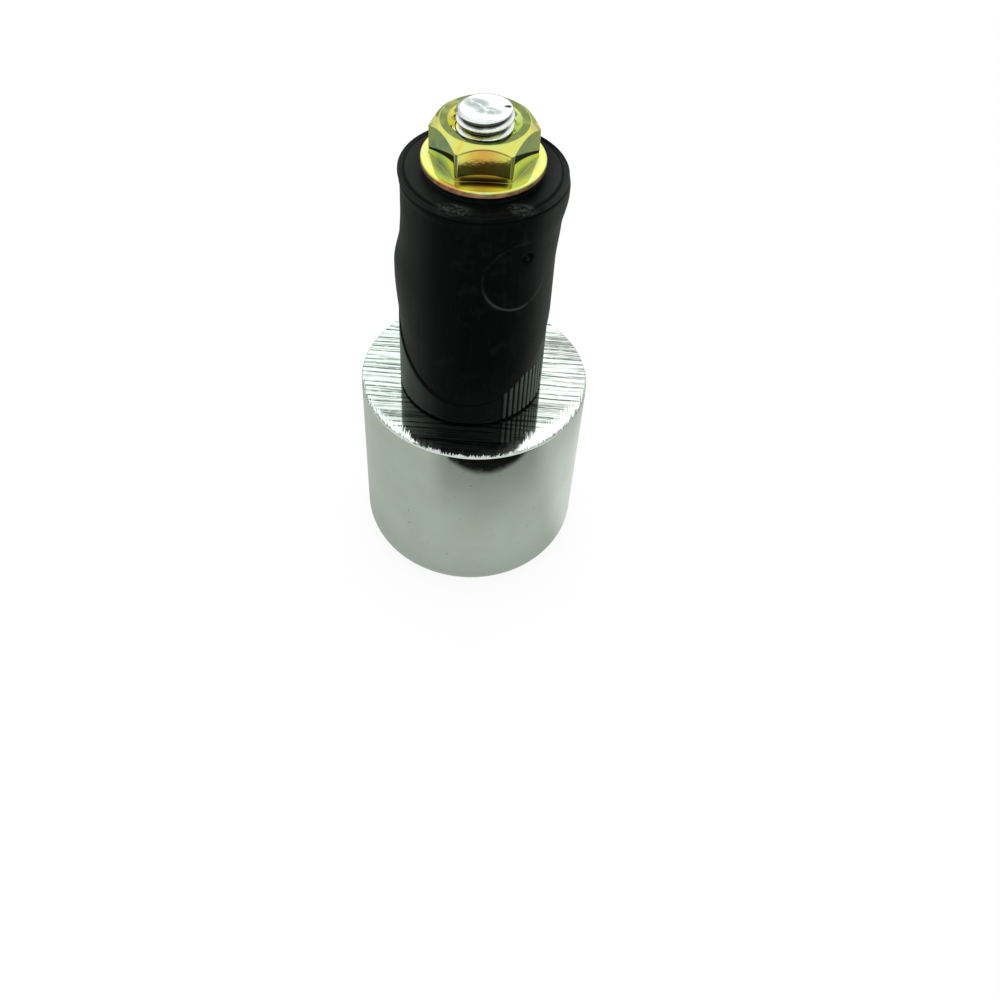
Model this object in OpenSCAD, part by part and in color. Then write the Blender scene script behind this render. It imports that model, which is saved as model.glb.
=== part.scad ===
// Bar end weight for a tubular handlebar.
// A turned, chromed steel weight carries a long socket screw. The screw draws
// a flange nut towards the weight, and the nut squeezes a rubber plug that is
// cut on the slant into two wedges. The wedges slide past each other along
// the cut, spread sideways and grip the bore of the bar.
//
// Millimetres. Z runs along the screw and up, from the middle of the outer
// face of the weight, on which the part stands. The cut climbs towards +Y.

/* [End weight] */
// Diameter of the weight
weight_d = 28; // [24:0.5:36]
// Length of the weight from its outer face to its shoulder
weight_len = 26.5; // [20:0.5:50]
// Radius of the rounded outer edge
outer_round = 4.4; // [1:0.1:6]
// Width of the edge break round the shoulder
rim_break = 0.15; // [0.05:0.05:0.5]
// Depth from the outer face down to the screw head
head_recess = 2.5; // [0.5:0.25:5]
// Gap all round the screw head in its counterbore
head_gap = 0.5; // [0.2:0.1:1]
// Gap all round the screw in the through bore
shank_gap = 0.3; // [0.15:0.05:0.5]

/* [Clamp screw] */
// Thread diameter of the screw
screw_d = 6; // [5:1:8]
// Diameter of the screw head
head_d = 10; // [9:0.5:12]
// Height of the screw head
head_h = 6; // [4:0.5:8]
// Width across the flats of the key socket
key_af = 5; // [3:0.5:6]
// Depth of the key socket
key_depth = 3.2; // [2:0.1:3.5]
// Chamfer on the outer edge of the screw head
head_chamfer = 0.4; // [0.1:0.1:0.8]
// Length of screw that stands out beyond the nut
screw_out = 1.4; // [0.8:0.1:6]
// Length of the chamfer at the screw's end
tip_chamfer = 0.45; // [0.2:0.05:0.6]
// Radial depth of the chamfer at the screw's end
tip_step = 0.3; // [0.1:0.05:0.5]

/* [Rubber plug] */
// Diameter of the plug
plug_d = 17.5; // [16:0.25:20]
// Length of the plug
plug_len = 30; // [28:0.5:45]
// Angle between the cut and the screw
cut_angle = 45; // [42:1:60]
// Length of the lower wedge on its short side
cut_front = 3.25; // [2:0.25:7]
// Largest sideways shift of each wedge, fully tightened
shift_max = 1; // [0.6:0.1:1.2]
// Least gap between the screw and the wedges
bore_gap = 0.3; // [0.1:0.05:0.5]
// Chamfer on the two end edges of the plug
end_chamfer = 0.2; // [0.1:0.05:0.5]
// Height trimmed off the lower wedge's tall tip
lower_tip_trim = 0.5; // [0.2:0.1:1.5]
// Height trimmed off the upper wedge's long tip
upper_tip_trim = 0.2; // [0.1:0.05:1.5]
// Diameter of the raised seat under the nut
seat_d = 12.4; // [11:0.1:13]
// Height of the raised seat
seat_h = 0.7; // [0.2:0.1:1.5]

/* [Grip ribs] */
// Number of ribs in the patch on the lower wedge
rib_count = 9; // [3:1:20]
// Distance from rib to rib round the plug
rib_pitch = 0.8; // [0.7:0.05:1.5]
// Width of the groove between two ribs
rib_groove = 0.4; // [0.2:0.05:0.6]
// Height of the ribs above the shoulder
rib_h = 6.5; // [2:0.5:10]
// Direction of the middle of the patch, in degrees from +X
rib_azimuth = -35; // [-180:5:180]

/* [Flange nut] */
// Width of the nut across its flats
nut_af = 10; // [9:0.5:12]
// Height of the nut with its flange
nut_h = 4.9; // [4:0.1:7]
// Diameter of the flange
flange_d = 13.2; // [12.5:0.1:15]
// Thickness of the flange at its rim
flange_rim = 0.75; // [0.5:0.05:1.2]
// Rise of the flange from its rim to the flats
flange_rise = 0.2; // [0.1:0.05:0.8]
// Edge break on the top of the rim
flange_break = 0.2; // [0.05:0.05:0.3]
// Diameter of the flat ring on top of the nut
crown_d = 9.3; // [8.8:0.1:9.8]
// Slope of the chamfer on the corners
crown_angle = 30; // [20:1:40]
// Diameter of the countersink in the top
sink_d = 7.7; // [7:0.1:8.2]
// Running gap between the screw and the nut
thread_gap = 0.05; // [0.02:0.01:0.1]
// Turn of the nut, in degrees
nut_turn = 8.5; // [0:0.5:60]

/* [Hidden] */
$fn = 96;

chrome = "#d9dedb";
zinc = "#cdd3d6";
yellow_zinc = "#c2b04e";
black_rubber = "#17191a";

weight_r = weight_d / 2;
screw_r = screw_d / 2;
head_r = head_d / 2;
plug_r = plug_d / 2;
flange_r = flange_d / 2;

// Levels along the screw
head_seat_z = head_recess + head_h;
shoulder_z = weight_len;
cut_rise = 1 / tan(cut_angle);
nut_z = shoulder_z + plug_len + seat_h;
screw_end_z = nut_z + nut_h + screw_out;

// Bores
shank_bore_r = screw_r + shank_gap;
head_bore_r = head_r + head_gap;
wedge_bore_r = screw_r + shift_max + bore_gap;
nut_bore_r = screw_r + thread_gap;

// Heights of the cut, measured from the foot of the plug
cut_mid = cut_front + plug_r * cut_rise;
cut_back = cut_front + plug_d * cut_rise;

// Overlap of the cutting bodies, and a size larger than the whole part
eps = 0.01;
reach = 4 * (weight_len + plug_len);

rib_step = rib_pitch / plug_r * 180 / PI;

// Outline of the weight to the right of its axis, with no bore
module weight_outline() {
    difference() {
        union() {
            translate([0, outer_round])
                square([weight_r, weight_len - outer_round]);
            square([weight_r - outer_round, weight_len]);
            translate([weight_r - outer_round, outer_round])
                circle(r = outer_round);
        }
        translate([weight_r, weight_len])
            rotate(45)
                square(rim_break * sqrt(2), center = true);
        translate([-outer_round, -outer_round])
            square([outer_round, weight_len + 2 * outer_round]);
    }
}

module end_weight() {
    color(chrome)
        difference() {
            rotate_extrude()
                weight_outline();
            translate([0, 0, -eps])
                cylinder(r = shank_bore_r, h = weight_len + 2 * eps);
            translate([0, 0, -eps])
                cylinder(r = head_bore_r, h = head_seat_z + eps);
        }
}

// Outline of the screw to the right of its axis, head down
module screw_outline() {
    polygon([
        [0, head_recess],
        [head_r - head_chamfer, head_recess],
        [head_r, head_recess + head_chamfer],
        [head_r, head_seat_z],
        [screw_r, head_seat_z],
        [screw_r, screw_end_z - tip_chamfer],
        [screw_r - tip_step, screw_end_z],
        [0, screw_end_z]
    ]);
}

// Hexagonal prism that stands on the XY plane
module hexagon(af, h) {
    cylinder(d = af / cos(30), h = h, $fn = 6);
}

module screw() {
    color(zinc)
        difference() {
            rotate_extrude()
                screw_outline();
            translate([0, 0, head_recess - eps])
                hexagon(key_af, key_depth + eps);
        }
}

// Flange with its rim, foot on the XY plane
module flange() {
    cone_r = nut_af / 2;
    rotate_extrude()
        polygon([
            [0, 0],
            [flange_r, 0],
            [flange_r, flange_rim - flange_break],
            [flange_r - flange_break, flange_rim],
            [cone_r, flange_rim + flange_rise],
            [0, flange_rim + flange_rise]
        ]);
}

// Envelope that chamfers the corners of the hexagon
module crown() {
    crown_r = crown_d / 2;
    corner_r = nut_af / 2 / cos(30) + 1;
    rotate_extrude()
        polygon([
            [0, 0],
            [corner_r, 0],
            [corner_r, nut_h - (corner_r - crown_r) * tan(crown_angle)],
            [crown_r, nut_h],
            [0, nut_h]
        ]);
}

module flange_nut() {
    sink_depth = sink_d / 2 - nut_bore_r;
    color(yellow_zinc)
        translate([0, 0, nut_z])
            rotate(nut_turn - 90)
                difference() {
                    union() {
                        flange();
                        intersection() {
                            rotate(30)
                                hexagon(nut_af, nut_h);
                            crown();
                        }
                    }
                    translate([0, 0, -eps])
                        cylinder(r = nut_bore_r, h = nut_h + 2 * eps);
                    translate([0, 0, nut_h - sink_depth])
                        cylinder(r1 = nut_bore_r, r2 = sink_d / 2 + eps, h = sink_depth + eps);
                }
}

// Everything below the slanted cut, in the frame of the plug's foot
module below_cut() {
    translate([0, 0, cut_mid])
        rotate([90 - cut_angle, 0, 0])
            translate([-reach / 2, -reach / 2, -reach])
                cube(reach);
}

// Plug from one level to another, with its end edges chamfered
module plug_blank(low, high) {
    intersection() {
        translate([0, 0, low])
            cylinder(r = plug_r, h = high - low);
        rotate_extrude()
            polygon([
                [0, 0],
                [plug_r - end_chamfer, 0],
                [plug_r, end_chamfer],
                [plug_r, plug_len - end_chamfer],
                [plug_r - end_chamfer, plug_len],
                [0, plug_len]
            ]);
    }
}

module wedge_bore() {
    translate([0, 0, -eps])
        cylinder(r = wedge_bore_r, h = plug_len + seat_h + 2 * eps);
}

// Grooves that leave a patch of upright ribs between them
module rib_grooves() {
    for (i = [0 : rib_count])
        rotate(rib_azimuth + (i - rib_count / 2) * rib_step)
            translate([plug_r, 0, -eps])
                cylinder(d = rib_groove, h = rib_h + eps, $fn = 24);
}

module lower_wedge() {
    color(black_rubber)
        translate([0, 0, shoulder_z])
            difference() {
                intersection() {
                    plug_blank(0, cut_back - lower_tip_trim);
                    below_cut();
                }
                wedge_bore();
                rib_grooves();
            }
}

module upper_wedge() {
    color(black_rubber)
        translate([0, 0, shoulder_z])
            difference() {
                union() {
                    plug_blank(cut_front + upper_tip_trim, plug_len);
                    translate([0, 0, plug_len - eps])
                        cylinder(d = seat_d, h = seat_h + eps);
                }
                below_cut();
                wedge_bore();
            }
}

end_weight();
screw();
flange_nut();
upper_wedge();
lower_wedge();
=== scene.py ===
"""Looks of a bar end weight.

A chromed steel weight, a socket screw, a flange nut and a rubber plug that is cut into two wedges.
"""
import math

import bmesh
import bpy
import numpy as np
from bpy.props import FloatProperty, FloatVectorProperty, IntProperty, PointerProperty
from mathutils import Matrix, Vector


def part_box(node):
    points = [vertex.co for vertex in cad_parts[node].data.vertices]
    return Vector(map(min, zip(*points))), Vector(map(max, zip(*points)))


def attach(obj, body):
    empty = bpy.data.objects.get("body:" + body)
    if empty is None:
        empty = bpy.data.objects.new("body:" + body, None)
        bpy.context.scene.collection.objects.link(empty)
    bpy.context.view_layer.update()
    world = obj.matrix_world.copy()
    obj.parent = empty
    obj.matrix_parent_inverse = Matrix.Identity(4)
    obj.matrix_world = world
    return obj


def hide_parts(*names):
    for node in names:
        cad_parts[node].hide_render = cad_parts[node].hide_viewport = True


bl_info = {
    "name": "Bar end weight",
    "version": (1, 0, 0),
    "blender": (4, 5, 0),
    "location": "3D View > Sidebar > Bar end",
    "description": "Builds the visible pieces of a chromed bar end weight round its solid model",
    "category": "Object",
}

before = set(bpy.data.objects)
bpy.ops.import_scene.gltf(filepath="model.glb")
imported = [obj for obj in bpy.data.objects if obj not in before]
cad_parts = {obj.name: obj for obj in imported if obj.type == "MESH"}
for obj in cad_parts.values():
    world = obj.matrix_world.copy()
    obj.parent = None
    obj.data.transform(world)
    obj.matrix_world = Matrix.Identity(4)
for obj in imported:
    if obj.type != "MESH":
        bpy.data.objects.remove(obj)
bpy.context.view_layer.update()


def mm(metres):
    return metres * 1000


def span(node):
    """Radius, lowest and highest level of a solid that stands round the Z axis, in mm."""
    low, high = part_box(node)
    return mm(min(high.x, high.y)), mm(low.z), mm(high.z)


WEIGHT_R, WEIGHT_FOOT, SHOULDER = span("end_weight")
HEAD_R, HEAD_FACE, SCREW_TIP = span("screw")
FLANGE_R, NUT_FOOT, NUT_TOP = span("flange_nut")
PLUG_R, LONG_TIP, SEAT_TOP = span("upper_wedge")
TALL_TIP = span("lower_wedge")[2]

# Sizes of the solids that their boxes don't give, in mm
HEAD_SEAT = 8.5
HEAD_BORE_R = 5.5
HEAD_CHAMFER = 0.4
SHANK_BORE_R = 3.3
SCREW_R = 3.0
TIP_CHAMFER = 0.45
TIP_STEP = 0.3
KEY_AF = 5.0
KEY_DEPTH = 3.2
WEDGE_BORE_R = 4.3
SEAT_R = 6.2
SEAT_RISE = 0.7
PLUG_END = SEAT_TOP - SEAT_RISE
CUT_MIDDLE = SHOULDER + 12.0
NUT_APOTHEM = 5.0
NUT_BORE_R = 3.06
RIM_HEIGHT = 0.75
RIM_RISE = 0.2
CROWN_R = 4.65
CROWN_SLOPE = math.tan(math.radians(30))
CORNER_DROP = 0.55
SINK_R = 3.85

# Directions round the axis, in radians from +X
NUT_TURN = math.radians(8.5 - 90)
RIB_MIDDLE = math.radians(-35)
GRAIN_TURN = math.radians(5)
TORN_TURN = math.radians(-127)

# Start of the thread as a share of a turn, and its inner radius on the screw and in the nut in mm
THREAD_START = 0.35
SCREW_ROOT_R, NUT_CREST_R = SCREW_R - 0.58, 2.5

# Round marks on the wall of the plug: direction and level of the middle, and radius in mm
DIMPLE, DIMPLE_R = (math.radians(-47), SHOULDER + 24.0), 0.5
WITNESS, WITNESS_R = (math.radians(-51), SHOULDER + 21.8), 4.4
# Each with the half width and the depth of its groove, in mm
ROUND_MARKS = ((DIMPLE, DIMPLE_R, 0.3, 0.3), (WITNESS, WITNESS_R, 0.5, 0.007))
# Level of the crease round the plug, in mm
CREASE = PLUG_END - 0.8

# Places seen from above, in mm: x and y, then half the width and half the depth of an oval
TRIM_SPOTS = ((-1.8, -7.7), (5.1, -6.3))
HATCHED = ((10.7, 7.4, 3.8, 3.6), (10.2, -4.8, 4.0, 2.4), (-9.4, -7.6, 4.0, 3.0))
SMEARED = ((-1.0, 0.5, 1.7, 1.2), (0.3, -0.6, 1.9, 0.9))
NICK = (2.25, 0.55, 0.6, 0.3)

# Lobes of the polished band along the rim: direction, reach to either side and width in mm
POLISHED = ((-0.68, 0.95, 2.1), (-2.25, 0.8, 0.9), (-1.55, 0.9, 0.65))
SAW_PITCH, HATCH_PITCH = 0.8, 0.31

# The black card painted on the floor for reflections only, as the barrel shows it: direction, half its angle,
# and its ends in mm
CARD_TURN, CARD_HALF, CARD_NEAR, CARD_FAR = -1.15, 0.61, 35.25, 96.0
# Direction of what the nut's front flat shows of the floor, and the far end of its painted dark part in mm
FLAT_SHOWS, FLAT_EDGE = -1.41, 95.2

# Where the photograph was taken from, in mm, how far it looks down and how far it is tilted
CAMERA_PLACE = (13.109, -99.886, 124.449)
CAMERA_DOWN, CAMERA_ROLL = 0.8815, 0.0754

# Stage, in metres
FLOOR_HALF, FLOOR_LEVEL = 3.0, -0.00004
SOFTBOX_PLACE, SOFTBOX_SIZE, SOFTBOX_AIM = (-0.03, 0.44, 0.44), (0.60, 0.50), (0, 0, 0.03)

BLACK = (0.0006, 0.0007, 0.0007)
WHITE = (1.0, 1.0, 1.0)


def length(name, description, default, low=0.0, high=10.0):
    """A length property in Blender's metres, its default and limits given in mm."""
    limits = {"default": default / 1000, "min": low / 1000, "max": high / 1000}
    return FloatProperty(name=name, description=description, unit="LENGTH", precision=5, **limits)


def colour(name, description, rgb):
    return FloatVectorProperty(
        name=name, description=description, default=rgb, size=3, min=0.0, max=1.0, subtype="COLOR"
    )


def share(name, description, value):
    return FloatProperty(
        name=name, description=description, default=value, min=0.0, max=1.0, subtype="FACTOR"
    )


def number(name, description, value, low, high):
    return FloatProperty(name=name, description=description, default=value, min=low, max=high)


def count(name, description, value, low, high):
    return IntProperty(name=name, description=description, default=value, min=low, max=high)


class WeightSettings(bpy.types.PropertyGroup):
    """Chromed steel weight"""

    outer_round: length("Outer round", "Radius of the rounded outer edge", 4.4, 1)
    rim_round: length("Rim round", "Radius of the edge round the shoulder", 0.14, 0.02, 1)
    saw_depth: length("Saw marks", "Depth of the saw marks on the shoulder", 0.010, 0, 0.1)
    dub: share("Polished rim slope", "Slope of the polished band along the rim of the shoulder", 0.08)
    plate: colour("Plate", "Reflection of the chrome plate", (0.70, 0.755, 0.715))
    # Colour of the saw lines and of the barrel's pits: dull metal with painted shade
    dull_and_shaded_marks: colour("Saw lines", "Dull colour in the deepest saw marks", (0.07, 0.088, 0.078))
    gloss: share("Roughness", "Roughness of the chrome on the barrel", 0.045)


class ScrewSettings(bpy.types.PropertyGroup):
    """Socket screw"""

    pitch: length("Pitch", "Pitch of the thread", 1.0, 0.5, 2)
    threaded: length("Threaded length", "Length of the thread from the tip", 24, 5, 50)
    knurls: count("Knurls", "Number of grooves round the head", 48, 12, 96)
    zinc: colour("Zinc", "Reflection of the silver zinc plate", (0.80, 0.82, 0.83))
    # Painted shade for the roots of the thread, and for the nick on the cut end
    root: colour("Root", "Dull colour in the roots of the thread", (0.03, 0.028, 0.024))
    smear: colour("Smear", "Grey smear on the cut end of the screw", (0.28, 0.34, 0.31))


class NutSettings(bpy.types.PropertyGroup):
    """Flange nut"""

    edge_round: length("Corner round", "Radius on the upright corners of the nut", 0.45, 0.02, 1)
    crown_round: length("Crown round", "Radius between the crown and its chamfer", 0.2, 0.02, 1)
    # These film colours also paint the reflection on the flange's rim and the shade of the brown lines
    teal: colour("Teal", "Colour of the zinc film where it is thinnest", (0.24, 0.38, 0.30))
    lime: colour("Lime", "Colour of the zinc film where it is thin", (0.60, 0.74, 0.26))
    yellow: colour("Yellow", "Main colour of the zinc film", (0.74, 0.70, 0.13))
    gold: colour("Gold", "Colour of the zinc film where it is thick", (0.66, 0.37, 0.07))
    rose: colour("Rose", "Colour of the zinc film where it is thicker", (0.58, 0.28, 0.20))
    brown: colour("Brown", "Colour of the zinc film where it is thickest", (0.16, 0.08, 0.05))
    olive: colour("Olive", "Colour of the film on the crown", (0.13, 0.17, 0.04))


class PlugSettings(bpy.types.PropertyGroup):
    """Rubber plug"""

    rib_count: count("Ribs", "Number of ribs in the grip patch", 9, 3, 20)
    rib_pitch: length("Rib pitch", "Distance from rib to rib", 0.8, 0.5, 2)
    rib_groove: length("Rib groove", "Width of the groove between two ribs", 0.4, 0.1, 1)
    rib_height: length("Rib height", "Height of the ribs above the shoulder", 6.5, 1, 10)
    lip_flare: length("Lip flare", "How far the end of the plug flares out", 0.5, 0, 1)
    bulge: length("Bulge", "How far the squeezed plug bulges out on one side", 0.55, 0, 1)
    lean: length("Lean", "How far the wedges have slipped to one side on the screw", 0.45, 0, 1)
    rubber: colour("Rubber", "Colour of the rubber", (0.0013, 0.0018, 0.0019))
    # Dry bloom on the rubber, also used for painted sheen on the flanks, edges, ribs and end face
    dust_and_sheen: colour("Dust", "Colour of the dry bloom on the rubber", (0.016, 0.019, 0.017))


class StageSettings(bpy.types.PropertyGroup):
    """Floor, light and camera"""

    floor: colour("Floor", "Colour of the floor", (0.82, 0.84, 0.83))
    mirrored: colour("Mirrored floor", "Colour of the floor as metal shows it", (0.495, 0.535, 0.485))
    sky: number("Room light", "Strength of the even light from all round", 1.0, 0, 5)
    softbox: number("Softbox", "Brightness that the softbox behind the object adds", 0.38, 0, 10)
    lens: number("Lens", "Focal length of the camera in mm", 40.22, 10, 300)


GROUPS = {
    "bar_end_weight": WeightSettings,
    "bar_end_screw": ScrewSettings,
    "bar_end_nut": NutSettings,
    "bar_end_plug": PlugSettings,
    "bar_end_stage": StageSettings,
}


def ease(low, high, value):
    """0 at low, 1 at high and a smooth step between them."""
    t = np.clip((value - low) / (high - low), 0, 1)
    return t * t * (3 - 2 * t)


def near(value, middle, width):
    """1 at middle, falling smoothly to 0 at width to either side."""
    return 1 - ease(0, width, np.abs(value - middle))


def turn_from(angles, middle):
    """Signed angle from middle to each angle, between minus and plus half a turn."""
    return (angles - middle + np.pi) % (2 * np.pi) - np.pi


def turned(x, y, turn):
    """How far a point lies along a direction, and how far across it. Takes numbers or wires."""
    return x * math.cos(turn) + y * math.sin(turn), y * math.cos(turn) - x * math.sin(turn)


def toned(rgb, factors):
    """A colour times one factor, or times one for each channel."""
    return tuple(np.asarray(rgb) * factors)


def grain(u, v, seed):
    """Smooth value noise between -1 and 1 on a plane, the same in every run."""
    table = np.random.default_rng(seed).uniform(-1, 1, (256, 256))
    iu, iv = np.floor(u).astype(int), np.floor(v).astype(int)
    fu, fv = ease(0, 1, u - iu), ease(0, 1, v - iv)
    a, b = table[iu % 256, iv % 256], table[(iu + 1) % 256, iv % 256]
    c, d = table[iu % 256, (iv + 1) % 256], table[(iu + 1) % 256, (iv + 1) % 256]
    return (a * (1 - fu) + b * fu) * (1 - fv) + (c * (1 - fu) + d * fu) * fv


def polished_width(angle, close):
    """Width in mm of the polished band along the rim, widest at the front right.

    close is near for numbers and Wire.close_to for wires.
    """
    return sum(close(angle, middle, reach) * width for middle, reach, width in POLISHED)


def chamfer_level(radius):
    """Level of the chamfer on the nut's corners, at a distance from the axis."""
    return NUT_TOP - (radius - CROWN_R) * CROWN_SLOPE - (radius - NUT_APOTHEM) * CORNER_DROP


def chain(angles, corners):
    """Corners of an outline on every ray. Each distance and height is a number or one for each ray."""
    ring = np.ones_like(angles)
    return np.array([np.stack((r * ring, z * ring), -1) for r, z in corners])


def outline(corners, rounds, fills, closed=True, steps=5, hold=0.05):
    """Rows of points along a chain of corners, each corner rounded.

    corners holds distance from the axis and height for each corner and each ray, in mm. rounds
    holds a radius for each corner, and fills the number of rows between one corner and the next.
    """
    total = len(corners)
    bends = []
    for k in range(total):
        here = corners[k]
        if rounds[k] == 0 or (not closed and k in (0, total - 1)):
            bends.append([here])
            continue
        back, on = corners[k - 1] - here, corners[(k + 1) % total] - here
        back_len = np.linalg.norm(back, axis=-1, keepdims=True)
        on_len = np.linalg.norm(on, axis=-1, keepdims=True)
        cosine = (back * on).sum(-1, keepdims=True) / (back_len * on_len)
        half = np.arccos(np.clip(cosine, -0.9999, 0.9999)) / 2
        reach = np.minimum(rounds[k] / np.tan(half), 0.45 * np.minimum(back_len, on_len))
        a, b, w = here + back / back_len * reach, here + on / on_len * reach, np.sin(half)
        bend = []
        parts = steps if rounds[k] < 1 else 4 * steps
        for s in np.linspace(0, 1, parts + 1):
            pa, pc, pb = (1 - s) ** 2, 2 * s * (1 - s) * w, s * s
            bend.append((pa * a + pc * here + pb * b) / (pa + pc + pb))
        bends.append(bend)
    rows = []
    for k in range(total):
        rows += bends[k]
        if k == total - 1 and not closed:
            break
        a, b = bends[k][-1], bends[(k + 1) % total][0]
        size = np.linalg.norm(b - a, axis=-1, keepdims=True)
        side = np.minimum(hold / np.maximum(size, 1e-9), 0.3)
        for t in np.linspace(0, 1, fills[k] + 2):
            rows.append(a + (b - a) * (side + (1 - 2 * side) * t))
    return np.array(rows)


def solid(name, rows, angles, finishes, closed=True, pick=None):
    """An object from rows of (distance from the axis, height) on rays at the given angles, in mm.

    A closed chain is a ring with a bore. An open one starts and ends on the axis. pick says for
    each face, from its centre, which finish it has.
    """
    total, rays = rows.shape[:2]
    radius, height = rows[..., 0], rows[..., 1]
    points = np.stack((radius * np.cos(angles), radius * np.sin(angles), height), -1).reshape(-1, 3)
    ids = np.arange(total * rays).reshape(total, rays)
    if closed:
        low, high = ids, np.roll(ids, -1, 0)
    else:
        low, high = ids[:-1], ids[1:]
    quads = np.stack((low, np.roll(low, -1, 1), np.roll(high, -1, 1), high), -1).reshape(-1, 4)
    a, b, c, d = (points[quads[:, k]] for k in range(4))
    if np.sum(a * (np.cross(b, c) + np.cross(c, d))) < 0:
        quads = quads[:, ::-1]
    mesh = bpy.data.meshes.new(name)
    mesh.from_pydata((points / 1000).tolist(), [], quads.tolist())
    if not closed:
        join_on_axis(mesh)
    for finish in finishes:
        mesh.materials.append(finish)
    if pick is not None:
        centres = mm(np.array([face.center[:] for face in mesh.polygons]))
        mesh.polygons.foreach_set("material_index", pick(centres).astype(np.int32))
    mesh.polygons.foreach_set("use_smooth", np.ones(len(mesh.polygons), bool))
    mesh.update()
    obj = bpy.data.objects.new(name, mesh)
    bpy.context.scene.collection.objects.link(obj)
    return obj


def join_on_axis(mesh):
    """Joins the points that lie together on the axis, so that each end closes in one point."""
    work = bmesh.new()
    work.from_mesh(mesh)
    on_axis = [v for v in work.verts if math.hypot(v.co.x, v.co.y) < 1e-8]
    bmesh.ops.remove_doubles(work, verts=on_axis, dist=1e-7)
    work.to_mesh(mesh)
    work.free()


def even_rays(rays):
    return np.arange(rays) * 2 * np.pi / rays


def hex_radius(angles, apothem, corner_round, turn):
    """Distance from the axis to a hexagon with rounded corners, its first corner at turn."""
    off = (turn_from(angles, turn) + np.pi / 6) % (np.pi / 3) - np.pi / 6
    flat = apothem / np.cos(np.pi / 6 - np.abs(off))
    centre = (apothem - corner_round) / math.cos(math.pi / 6)
    arc = centre * np.cos(off) + np.sqrt(np.maximum(corner_round**2 - (centre * np.sin(off)) ** 2, 0))
    tangent = math.atan2(corner_round * 0.5, centre + corner_round * math.cos(math.pi / 6))
    return np.where(np.abs(off) < tangent, arc, flat)


def thread_radius(angles, height, pitch, crest, root, gap=0.0):
    """Distance from the axis to a right-hand sixty degree thread, its crest an eighth of a pitch wide.

    gap opens the groove, for the thread that mates with it.
    """
    phase = (height / pitch - angles / (2 * np.pi) + THREAD_START + 0.5) % 1 - 0.5
    slope = SCREW_R - (np.abs(phase) - 1 / 16) * pitch * math.sqrt(3) + gap
    return np.clip(slope, root, crest)


def place(obj, body, node):
    """Puts a piece on its body, in the place of its solid, and hides the solid."""
    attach(obj, body)
    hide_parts(node)


def maths(operation, swapped=False):
    """A method of Wire that adds a maths node. swapped puts the wire itself last."""

    def method(self, *others):
        values = (*others, self) if swapped else (self, *others)
        return self.nodes.add("ShaderNodeMath", {"operation": operation}, dict(enumerate(values)))

    return method


class Wire:
    """A socket of a node tree, so that shader maths reads as plain Python."""

    def __init__(self, nodes, socket):
        self.nodes, self.socket = nodes, socket

    __add__ = maths("ADD")
    __radd__ = maths("ADD", swapped=True)
    __sub__ = maths("SUBTRACT")
    __rsub__ = maths("SUBTRACT", swapped=True)
    __mul__ = maths("MULTIPLY")
    __rmul__ = maths("MULTIPLY", swapped=True)
    __truediv__ = maths("DIVIDE")
    __abs__ = maths("ABSOLUTE")
    least = maths("MINIMUM")
    most = maths("MAXIMUM")
    root = maths("SQRT")
    sine = maths("SINE")
    # Angle in radians of the point whose y is the wire and whose x is given
    angle = maths("ARCTAN2")

    def __neg__(self):
        return self * -1.0

    def ramp(self, low, high, start=0.0, end=1.0):
        """Runs smoothly from start to end while the value goes from low to high."""
        return self.nodes.add(
            "ShaderNodeMapRange",
            {"interpolation_type": "SMOOTHSTEP", "clamp": True},
            {0: self, 1: low, 2: high, 3: start, 4: end},
        )

    def close_to(self, middle, width):
        """1 at middle, falling smoothly to 0 at width to either side."""
        return abs(self - middle).ramp(0.0, width, 1.0, 0.0)


class Nodes:
    """A node tree, with one method that adds every node."""

    def __init__(self, tree):
        self.tree = tree
        tree.nodes.clear()

    def add(self, kind, settings=None, sockets=None, out=0):
        """Adds a node, sets it, then gives its sockets their values or links. Gives one of its outputs."""
        node = self.tree.nodes.new(kind)
        for name, value in (settings or {}).items():
            if name == "stops":
                band = node.color_ramp.elements
                while len(band) < len(value):
                    band.new(0.5)
                for stop, (position, rgb) in zip(band, value):
                    stop.position, stop.color = position, (*rgb, 1.0)
            else:
                setattr(node, name, value)
        for name, value in (sockets or {}).items():
            socket = node.inputs[name]
            if isinstance(value, Wire):
                self.tree.links.new(value.socket, socket)
            else:
                socket.default_value = (*value, 1.0) if socket.type == "RGBA" else value
        return Wire(self, node.outputs[out]) if len(node.outputs) else None

    def parts(self, vector):
        node = self.add("ShaderNodeSeparateXYZ", None, {0: vector}).socket.node
        return [Wire(self, out) for out in node.outputs]


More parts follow.
